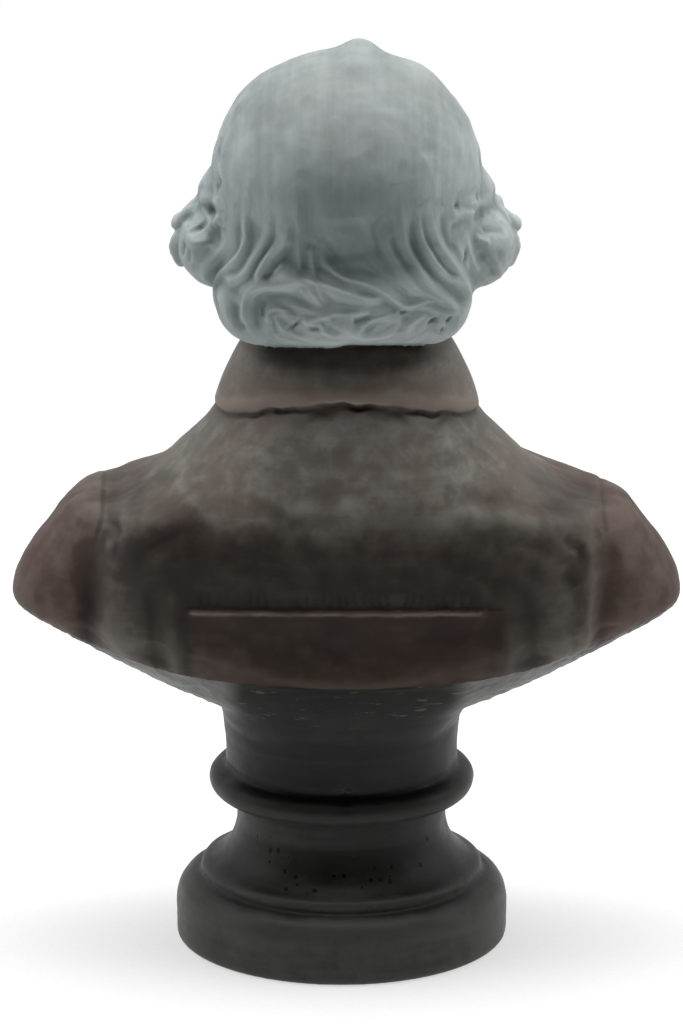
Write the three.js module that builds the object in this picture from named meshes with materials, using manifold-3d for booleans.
// A small portrait bust cast in one piece with its turned socle: a man in a coat with a high turned-down
// collar and a neckcloth, his hair combed back over the crown and curled at the ears and nape.
// Millimetres, +Z up, origin at the centre of the socle's foot. The face looks along -Y.

import * as THREE from "three";
import { mergeVertices } from "three/addons/utils/BufferGeometryUtils.js";
import Module from "manifold-3d";

const { sin, cos, abs, max, min, sign, round, PI, hypot } = Math;
const { lerp, clamp, degToRad, smoothstep } = THREE.MathUtils;

// Driving dimensions
const FOOT_RADIUS = 32.1;
const FOOT_HEIGHT = 12.7;
const RING_HEIGHT = 32.1;
const NECK_RADIUS = 22.5;
const SHOULDER_HALF_WIDTH = 64.6;
const BUST_OFFSET = -1.0; // the bust stands this far off the socle's axis, along X
const HEAD_CENTRE = new THREE.Vector3(BUST_OFFSET, 0, 147);
const HAIR_PARTING = 15; // degrees round from the middle of the back
const STRAND_RELIEF = 0.65;
const CURL_GIRTH = 0.36; // half width of a curl's lock over the radius of the curl
const FOLD_SUNK = 1.3; // how far the middle of a fold lies under the coat
const PANEL = { halfWidth: 30.5, low: 59.2, high: 74.4, proud: 1.0 };

// How finely each form is cut
const SOCLE_SIDES = 26;
const BODY_COLUMNS = 38;
const FACE_COLUMNS = 30;
const FACE_ROWS = 24;
const HAIR_COLUMNS = 52;
const HAIR_ROWS = 15;
const STRAND_SIDES = 5;

const wasm = await Module();
wasm.setup();

// A closed geometry as a solid for joining.
function solid(geometry) {
  geometry.deleteAttribute("normal");
  geometry.deleteAttribute("uv");
  const merged = mergeVertices(geometry, 1e-4);
  const made = new wasm.Manifold(
    new wasm.Mesh({
      numProp: 3,
      vertProperties: merged.attributes.position.array,
      triVerts: new Uint32Array(merged.index.array),
    }),
  );
  if (made.volume() <= 0) throw new Error("a form is inside out or empty");
  return made;
}

// A solid as a geometry again.
function geometryOf(made) {
  const { vertProperties, triVerts, numProp } = made.getMesh();
  const geometry = new THREE.BufferGeometry();
  const positions = new Float32Array((vertProperties.length / numProp) * 3);
  for (let i = 0; i < positions.length / 3; i++) {
    positions.set(vertProperties.subarray(i * numProp, i * numProp + 3), i * 3);
  }
  geometry.setAttribute("position", new THREE.BufferAttribute(positions, 3));
  geometry.setIndex(new THREE.BufferAttribute(triVerts, 1));
  geometry.computeVertexNormals();
  return geometry;
}

// A sphere's grid with every point moved: place(around, along) gives the new point, where around runs
// 0 to 1 about the form and along runs 0 to 1 from its first pole to its last.
function shapedSphere(columns, rows, place) {
  const geometry = new THREE.SphereGeometry(1, columns, rows);
  const { position, uv } = geometry.attributes;
  for (let i = 0; i < position.count; i++) {
    const along = 1 - uv.getY(i);
    const atPole = along < 1e-6 || along > 1 - 1e-6;
    const p = place(atPole ? 0 : uv.getX(i) % 1, along);
    position.setXYZ(i, p.x, p.y, p.z);
  }
  return solid(geometry);
}

// A thin block with every point moved: place(across, up, outer) takes 0 to 1 each way, outer being 1 on
// the face that shows.
function shapedPlate(columns, rows, place) {
  const geometry = new THREE.BoxGeometry(1, 1, 1, columns, rows, 1);
  const { position } = geometry.attributes;
  for (let i = 0; i < position.count; i++) {
    const p = place(position.getX(i) + 0.5, position.getY(i) + 0.5, position.getZ(i) + 0.5);
    position.setXYZ(i, p.x, p.y, p.z);
  }
  return solid(geometry);
}

// A rounded strand along a curve, lying on whatever outward(point) points away from. Its half width and
// half thickness swell from one tip and die away at the other.
function strand(curve, rows, halfWidth, halfThickness, outward) {
  return shapedSphere(STRAND_SIDES, rows, (around, along) => {
    const centre = curve.getPoint(along);
    const forward = curve.getTangent(along);
    const out = outward(centre);
    const across = forward.clone().cross(out).normalize();
    const up = across.clone().cross(forward).normalize();
    const swell = max(sin(PI * along), 0) ** 0.6;
    const angle = 2 * PI * around;
    return centre
      .addScaledVector(across, halfWidth * swell * cos(angle))
      .addScaledVector(up, halfThickness * swell * sin(angle));
  });
}

// Socle

// The turned profile from the foot's centre up to the neck under the bust, as (radius, height) points.
function socleProfile() {
  const profile = new THREE.Path();
  profile.moveTo(0, 0);
  profile.lineTo(FOOT_RADIUS - 0.6, 0);
  profile.lineTo(FOOT_RADIUS, 0.7);
  profile.lineTo(FOOT_RADIUS + 0.1, 6.2);
  profile.quadraticCurveTo(FOOT_RADIUS + 0.1, 11.6, 28.6, FOOT_HEIGHT);
  profile.lineTo(27.1, FOOT_HEIGHT + 0.1);
  profile.lineTo(27.4, 14.4);
  profile.quadraticCurveTo(27.0, 15.4, 25.8, 15.4);
  profile.quadraticCurveTo(21.4, 17.4, 20.3, 23.4);
  profile.lineTo(20.2, 28.6);
  profile.lineTo(21.3, 29.3);
  profile.absarc(23.0, RING_HEIGHT, 2.7, degToRad(-110), degToRad(95), false);
  profile.lineTo(NECK_RADIUS - 0.1, 40);
  profile.lineTo(NECK_RADIUS, 48);
  profile.lineTo(0, 48);
  return profile.getPoints(3).filter((p, i, all) => !i || p.distanceTo(all[i - 1]) > 1e-3);
}

function socle() {
  const geometry = new THREE.LatheGeometry(socleProfile(), SOCLE_SIDES);
  geometry.rotateX(PI / 2);
  return solid(geometry);
}

// Coat and collar

// Level bands of the body from the socle's neck up to the collar, each measured at the side, back and
// front as [distance from the axis, height].
const BODY_BANDS = [
  { side: [21.8, 42.0], back: [21.8, 42.0], front: [21.8, 42.0] },
  { side: [23.0, 45.0], back: [23.0, 46.0], front: [23.2, 45.0] },
  { side: [26.0, 48.8], back: [24.2, 52.0], front: [24.8, 48.0] },
  { side: [36.8, 53.8], back: [25.4, 56.6], front: [27.8, 50.5] },
  { side: [48.6, 59.9], back: [26.6, 58.2], front: [31.0, 53.0] },
  { side: [62.6, 67.6], back: [28.2, 58.8], front: [33.6, 55.2] },
  { side: [SHOULDER_HALF_WIDTH, 70.1], back: [29.0, 60.6], front: [34.4, 57.5] },
  { side: [63.8, 74.2], back: [29.4, 68.0], front: [34.6, 66.0] },
  { side: [60.8, 79.6], back: [30.4, 76.0], front: [34.4, 77.0] },
  { side: [56.0, 86.0], back: [31.2, 85.0], front: [32.8, 87.0] },
  { side: [51.6, 89.6], back: [31.0, 93.0], front: [30.0, 95.0] },
  { side: [44.0, 91.1], back: [29.2, 100.4], front: [27.4, 100.0] },
  { side: [36.4, 95.3], back: [26.8, 107.0], front: [24.6, 103.0] },
  { side: [29.2, 102.2], back: [24.2, 111.6], front: [22.6, 104.6] },
  { side: [25.0, 107.4], back: [22.6, 114.1], front: [21.2, 105.6] },
  { side: [25.4, 108.4], back: [23.6, 115.1], front: [21.2, 106.4] },
  { side: [23.8, 113.4], back: [22.6, 120.6], front: [20.0, 107.4] },
  { side: [20.2, 118.4], back: [19.8, 125.4], front: [18.4, 107.8] },
  { side: [18.4, 117.4], back: [16.8, 126.4], front: [16.8, 107.0] },
];
const HEM_BAND = 5;
const CREASE_BAND = 14;
const BODY_SQUARENESS = 2.15; // 2 would make every level an ellipse

// A point on the body at a turn from the back (0) towards +X, for a band number that may lie between bands.
function bodyPoint(turn, band) {
  const ends = [Math.floor(band), Math.floor(band) + 1].map((k) => {
    const { side, back, front } = BODY_BANDS[clamp(k, 0, BODY_BANDS.length - 1)];
    const middle = cos(turn) >= 0 ? back : front;
    const reachAcross = (abs(sin(turn)) / side[0]) ** BODY_SQUARENESS;
    const reachDeep = (abs(cos(turn)) / middle[0]) ** BODY_SQUARENESS;
    return [(reachAcross + reachDeep) ** (-1 / BODY_SQUARENESS), lerp(middle[1], side[1], sin(turn) ** 2)];
  });
  const share = band - Math.floor(band);
  const radius = lerp(ends[0][0], ends[1][0], share);
  return new THREE.Vector3(
    BUST_OFFSET + radius * sin(turn),
    radius * cos(turn),
    lerp(ends[0][1], ends[1][1], share),
  );
}

function body() {
  const rows = BODY_BANDS.length + 1;
  return shapedSphere(BODY_COLUMNS, rows, (around, along) => {
    const row = round((1 - along) * rows);
    if (row === 0) return new THREE.Vector3(BUST_OFFSET, 0, 42.0);
    if (row === rows) return new THREE.Vector3(BUST_OFFSET, 0, 119);
    // columns stand closer together at the sides, where the coat turns fastest
    const even = -around * 2 * PI;
    return bodyPoint(even + 0.2 * sin(2 * even), row - 1);
  });
}

// The point of the coat's back (facing 1) or front (facing -1) at x from the bust's middle and height z,
// lifted off it by the given amount.
function coatPoint(x, z, facing, lift) {
  let [low, high] = [0, PI / 2];
  let [p, turn] = [null, 0];
  for (let pass = 0; pass < 16; pass++) {
    const angle = (low + high) / 2;
    turn = (facing > 0 ? angle : PI - angle) * (sign(x) || 1);
    let band = HEM_BAND;
    while (band < CREASE_BAND && bodyPoint(turn, band + 1).z < z) band++;
    const [under, over] = [bodyPoint(turn, band).z, bodyPoint(turn, band + 1).z];
    p = bodyPoint(turn, band + clamp((z - under) / (over - under), 0, 0.999));
    if (abs(p.x - BUST_OFFSET) < abs(x)) low = angle;
    else high = angle;
  }
  return p.addScaledVector(new THREE.Vector3(sin(turn), cos(turn), 0), lift);
}

// A rounded fold of cloth through places given as [x, z] on the coat's back.
function fold(places, halfWidth, halfThickness) {
  const points = places.map(([x, z]) => coatPoint(x, z, 1, -FOLD_SUNK));
  const out = (p) => new THREE.Vector3(p.x - BUST_OFFSET, 2.4 * p.y, 0).normalize();
  return strand(new THREE.CatmullRomCurve3(points), 5, halfWidth, halfThickness, out);
}

// Folds that hang beside the arms on the back, and pinched ones over the shoulder blades.
function folds() {
  return wasm.Manifold.union([
    fold([[33, 60], [32.5, 70], [29, 81]], 4.2, 2.2),
    fold([[44.5, 63], [44.5, 73], [41, 85]], 4.2, 2.2),
    fold([[-32, 60], [-31.5, 70], [-28, 82]], 4.2, 2.2),
    fold([[-46, 64], [-46.5, 74], [-43, 86]], 4.2, 2.2),
    fold([[43, 84], [36, 89], [24, 93]], 4.0, 2.0),
    fold([[-42, 84], [-35, 89.5], [-22, 92]], 4.0, 2.0),
  ]);
}

// The groove of the seam round an armhole, from low on the back over the shoulder to low on the front.
function armhole(hand) {
  const back = [[50, 70], [50, 80], [48.8, 88]].map(([x, z]) => coatPoint(x * hand, z, 1, 0));
  const front = [[48.8, 88], [50, 80], [50, 70]].map(([x, z]) => coatPoint(x * hand, z, -1, 0));
  const top = new THREE.Vector3(BUST_OFFSET + 48.4 * hand, 0, 90.4);
  const out = (p) => new THREE.Vector3(p.x - BUST_OFFSET, 2.4 * p.y, 2 * max(p.z - 80, 0)).normalize();
  return strand(new THREE.CatmullRomCurve3([...back, top, ...front]), 12, 1.1, 1.2, out);
}

// The plain raised panel low on the back.
function backPanel() {
  return shapedPlate(8, 3, (across, up, outer) => {
    const x = lerp(PANEL.halfWidth, -PANEL.halfWidth, across);
    return coatPoint(x, lerp(PANEL.low, PANEL.high, up), 1, lerp(-1.5, PANEL.proud, outer));
  });
}

// A lapel folded back beside the opening, notched under the collar; hand is 1 for the +X side.
function lapel(hand) {
  return shapedPlate(4, 8, (across, up, outer) => {
    const spread = hand > 0 ? across : 1 - across;
    const edge = up < 0.86 ? lerp(7.5, 25.5, (up / 0.86) ** 0.85) : lerp(25.5, 20, (up - 0.86) / 0.14);
    const x = lerp(lerp(2.6, 11.5, up), edge, spread);
    const z = lerp(lerp(66, 105, up), lerp(66, 98.5, up), spread);
    return coatPoint(hand * x, z, -1, outer ? lerp(2.2, 1.3, spread) : -1.4);
  });
}

// Neckcloth: two turns of cloth round the throat and the pleated ends that fall from its knot.
function neckcloth() {
  const front = () => new THREE.Vector3(0, -1, 0);
  const turns = [
    [107.5, 18.2, 20.2, 4.6],
    [111.6, 16.8, 18.2, 3.4],
  ].map(([z, across, deep, tall]) => {
    const geometry = new THREE.SphereGeometry(1, 24, 6);
    geometry.rotateX(PI / 2);
    geometry.scale(across, deep, tall);
    geometry.rotateX(degToRad(6));
    geometry.translate(BUST_OFFSET, 0, z);
    return solid(geometry);
  });
  const falls = [-1, 1, 0].map((k) => {
    const tip = coatPoint(3.4 * k, k ? 84 : 80, -1, 0.8);
    const root = new THREE.Vector3(BUST_OFFSET + 1.3 * k, -21.4, 106.0);
    const bulge = coatPoint(3.2 * k, 95, -1, k ? 2.0 : 3.2);
    return strand(new THREE.CatmullRomCurve3([root, bulge, tip]), 7, k ? 3.2 : 3.6, 2.2, front);
  });
  const knot = new THREE.SphereGeometry(1, 8, 6);
  knot.scale(4.4, 3.6, 3.8);
  knot.translate(BUST_OFFSET, -21.0, 105.4);
  return wasm.Manifold.union([...turns, ...falls, solid(knot)]);
}

// The flat buttons of the waistcoat, down the middle of the opening.
function buttons() {
  const heights = [78.5, 72.8, 67.1];
  return wasm.Manifold.union(
    heights.map((z) => {
      const geometry = new THREE.SphereGeometry(1, 8, 5);
      geometry.scale(1.7, 1.0, 1.7);
      const at = coatPoint(0, z, -1, 0.5);
      geometry.translate(at.x, at.y, at.z);
      return solid(geometry);
    }),
  );
}

// Head

// Distance from p to an ellipsoid at c with radii r, close enough near its surface.
function ellipsoid(p, c, r) {
  const [x, y, z] = [p.x - c[0], p.y - c[1], p.z - c[2]];
  const scaled = hypot(x / r[0], y / r[1], z / r[2]);
  const slope = hypot(x / r[0] ** 2, y / r[1] ** 2, z / r[2] ** 2);
  return slope > 1e-9 ? (scaled * (scaled - 1)) / slope : -min(...r);
}

// Distance from p to a rod from a to b whose radius runs from ra to rb.
function rod(p, a, b, ra, rb) {
  const ab = [b[0] - a[0], b[1] - a[1], b[2] - a[2]];
  const ap = [p.x - a[0], p.y - a[1], p.z - a[2]];
  const share = (ap[0] * ab[0] + ap[1] * ab[1] + ap[2] * ab[2]) / (ab[0] ** 2 + ab[1] ** 2 + ab[2] ** 2);
  const t = clamp(share, 0, 1);
  return hypot(ap[0] - ab[0] * t, ap[1] - ab[1] * t, ap[2] - ab[2] * t) - lerp(ra, rb, t);
}

// Two distances joined with a soft fillet of size k, and the second hollowed out of the first likewise.
function blend(a, b, k) {
  const h = max(k - abs(a - b), 0) / k;
  return min(a, b) - (h * h * k) / 4;
}
function carve(a, b, k) {
  return -blend(-a, b, k);
}

// The bare head and neck, measured from the head's centre. Both halves are alike.
function headDistance(q) {
  const p = new THREE.Vector3(abs(q.x), q.y, q.z);
  let d = ellipsoid(p, [0, 3, 7], [21.5, 27, 22.5]); // skull
  d = blend(d, ellipsoid(p, [0, -5, -9], [17.6, 19.4, 23.6]), 9); // face
  d = blend(d, ellipsoid(p, [0, -11.5, -25], [12.4, 11.6, 9.4]), 7); // jaw
  d = blend(d, ellipsoid(p, [11.6, -14.6, -6.5], [6.4, 7, 4.8]), 5); // cheekbone
  d = blend(d, rod(p, [0, 4, -18], [0, 5, -46], 14.5, 16), 6); // neck
  d = blend(d, rod(p, [0, -24, 4.4], [9.8, -20.8, 4.8], 2.1, 1.8), 4); // brow
  d = carve(d, ellipsoid(p, [8.2, -27, -1.6], [5.4, 6.4, 3.9]), 3); // eye socket
  d = blend(d, ellipsoid(p, [8.2, -18.6, -1.8], [4.4, 4.4, 3.1]), 1); // eye
  d = blend(d, rod(p, [0, -23.8, 1.5], [0, -28.2, -11.6], 1.9, 2.6), 2.6); // nose
  d = blend(d, ellipsoid(p, [0, -28.6, -12.4], [3.0, 3.0, 2.7]), 1.6); // tip of the nose
  d = blend(d, ellipsoid(p, [3.5, -25.4, -13.6], [2.2, 3.0, 2.3]), 1.4); // nostril's wing
  d = blend(d, rod(p, [0, -25.2, -20.4], [5.6, -23.2, -21.5], 1.8, 1.0), 1.0); // upper lip
  d = blend(d, rod(p, [0, -24.4, -25.0], [4.6, -22.7, -24.3], 2.1, 1.3), 1.0); // lower lip
  d = blend(d, ellipsoid(p, [0, -20.2, -31], [6.2, 5.2, 4.6]), 4); // chin
  return d;
}

// The mass of the hair before its curls are laid on, measured from the head's centre.
function hairDistance(q) {
  const p = new THREE.Vector3(abs(q.x), q.y, q.z);
  let d = ellipsoid(p, [0, 6, 9.2], [25.4, 26, 23.2]); // crown
  d = blend(d, rod(q, [-3, -4, 30.0], [-2, 12, 29.2], 2, 2), 6); // its low ridge
  d = blend(d, ellipsoid(p, [0, -11, 18.5], [15, 10, 8]), 7); // crest over the forehead
  d = blend(d, ellipsoid(p, [16, 6, -7], [8.5, 15, 14]), 7); // fall behind the ear
  d = blend(d, ellipsoid(p, [24.3, 3, -6.2], [7.6, 11, 7.9]), 3); // bunch over the ear
  d = blend(d, rod(p, [0, 20.2, -17.6], [15, 12.9, -17.4], 6.8, 7.2), 5); // roll at the nape
  return d;
}

// Where a form's outer surface lies along a direction from the head's centre.
function reach(distance, direction) {
  let far = 60;
  for (let step = 0; step < 80; step++) {
    const d = distance(direction.clone().multiplyScalar(far));
    if (d < 0.005) break;
    far -= d * 0.85;
  }
  return far;
}

// A direction from the head's centre: turn from the back towards +X, and rise above the horizontal.
function towards(turn, rise) {
  return new THREE.Vector3(sin(turn) * cos(rise), cos(turn) * cos(rise), sin(rise));
}

// An even run from -1 to 1, crowded to its middle.
const crowd = (t, part) => part * t + (1 - part) * t ** 3;

// The face's grid crowds its columns to the front and its rows to the nose. It is seen from low in the
// jaw, from where neither the nose nor the brow hides what lies under it.
function face() {
  const low = new THREE.Vector3(0, 3, -26);
  return shapedSphere(FACE_COLUMNS, FACE_ROWS, (around, along) => {
    const turn = PI * (1 - crowd(2 * around - 1, 0.35));
    const [v, level] = [2 * along - 1, degToRad(20)];
    const rise = level - crowd(v, 0.45) * (v < 0 ? PI / 2 - level : PI / 2 + level);
    const direction = towards(turn, rise);
    const far = reach((p) => headDistance(p.add(low)), direction);
    return direction.multiplyScalar(far).add(low).add(HEAD_CENTRE);
  });
}

// A point on the mass of hair in degrees of turn and rise, lifted off it.
function hairPoint(turn, rise, lift = 0) {
  const direction = towards(degToRad(turn), degToRad(rise));
  return direction.multiplyScalar(reach(hairDistance, direction) + lift).add(HEAD_CENTRE);
}
const fromHead = (p) => p.clone().sub(HEAD_CENTRE).normalize();

// How many degrees a strand of the crown has swept round by a given rise, from where it started.
function sweep(turn, rise) {
  const fall = clamp((18 - rise) / 46, 0, 1) ** 1.4;
  const parted = Math.tanh((turn - HAIR_PARTING) / 9);
  const fade = 1 - smoothstep(abs(turn), 30, 112);
  return fall * fade * parted * (parted > 0 ? 26 : 36);
}

// The hair's grid follows its strands, every other column a ridge. It crowds its rows to the nape.
function hairMass() {
  return shapedSphere(HAIR_COLUMNS, HAIR_ROWS, (around, along) => {
    const s = around < 0.5 ? -2 * around : 2 - 2 * around;
    const turn = 180 * crowd(s, 0.86);
    const [v, level] = [2 * along - 1, -12];
    const rise = level - crowd(v, 0.55) * (v < 0 ? 90 - level : 90 + level);
    const ridge = round(around * HAIR_COLUMNS) % 2 ? 1 : -1;
    const depth = STRAND_RELIEF * smoothstep(-rise, -26, 4) * (1 - smoothstep(abs(turn), 44, 70));
    return hairPoint(turn + sweep(turn, rise), rise, abs(rise) > 89 ? 0 : ridge * depth);
  });
}

// A lock from one place on the hair to another, bowed sideways by some degrees of turn on its way.
function lock([turn0, rise0], [turn1, rise1], bow, halfWidth) {
  const points = [0, 0.25, 0.5, 0.75, 1].map((t) => {
    const turn = lerp(turn0, turn1, t ** 1.4) + bow * sin(PI * t);
    return hairPoint(turn, lerp(rise0, rise1, t), -0.4);
  });
  return strand(new THREE.CatmullRomCurve3(points), 5, halfWidth, 1.5, fromHead);
}

// A curl wound about a place on the hair, of the given outer radius; hand is its sense of winding.
function curl(turn, rise, radius, hand, startAngle) {
  const centre = hairPoint(turn, rise);
  const out = fromHead(centre);
  const across = new THREE.Vector3(0, 0, 1).cross(out).normalize();
  const up = out.clone().cross(across);
  const points = [0, 0.17, 0.34, 0.5, 0.67, 0.84, 1].map((t) => {
    const angle = degToRad(startAngle) + hand * t * 2 * PI * 1.15;
    const arm = radius * lerp(0.72, 0.2, t);
    return centre
      .clone()
      .addScaledVector(across, arm * cos(angle))
      .addScaledVector(up, arm * sin(angle))
      .addScaledVector(out, lerp(-0.9, 0.3, t));
  });
  return strand(new THREE.CatmullRomCurve3(points), 8, radius * CURL_GIRTH, radius * 0.3, fromHead);
}

// The curls laid on the hair and the locks swept back from the forehead.
function curls() {
  const laid = [
    curl(27, -28, 6.2, 1, 200),
    curl(48, -28, 5.8, -1, 20),
    curl(9, -30, 5.4, 1, 150),
    curl(-11, -30, 6.2, -1, 60),
    curl(-32, -30, 5.6, 1, 180),
    curl(-50, -29, 5.4, -1, 0),
  ];
  for (const hand of [1, -1]) {
    laid.push(
      curl(hand * 72, -6, 6.2, hand, 100),
      curl(hand * 68, -16, 5.2, -hand, 250),
      curl(hand * 92, -10, 7.6, hand, 0),
      curl(hand * 114, -10, 6.6, -hand, 60),
      lock([hand * 116, 50], [hand * 98, 14], 6 * hand, 3.4),
      lock([hand * 136, 56], [hand * 112, 14], 10 * hand, 3.4),
      lock([hand * 164, 56], [hand * 126, 22], 12 * hand, 3.4),
    );
  }
  return wasm.Manifold.union(laid);
}

const bust = wasm.Manifold.union([
  socle(),
  body(),
  backPanel(),
  lapel(1),
  lapel(-1),
  neckcloth(),
  buttons(),
  face(),
  hairMass(),
  curls(),
  folds(),
])
  .subtract(armhole(1))
  .subtract(armhole(-1));

const paint = new THREE.MeshStandardMaterial({ color: 0x4a403c, roughness: 0.7, metalness: 0 });
const mesh = new THREE.Mesh(geometryOf(bust), paint);
mesh.name = "bust";

const group = new THREE.Group();
group.add(mesh);

export default group;
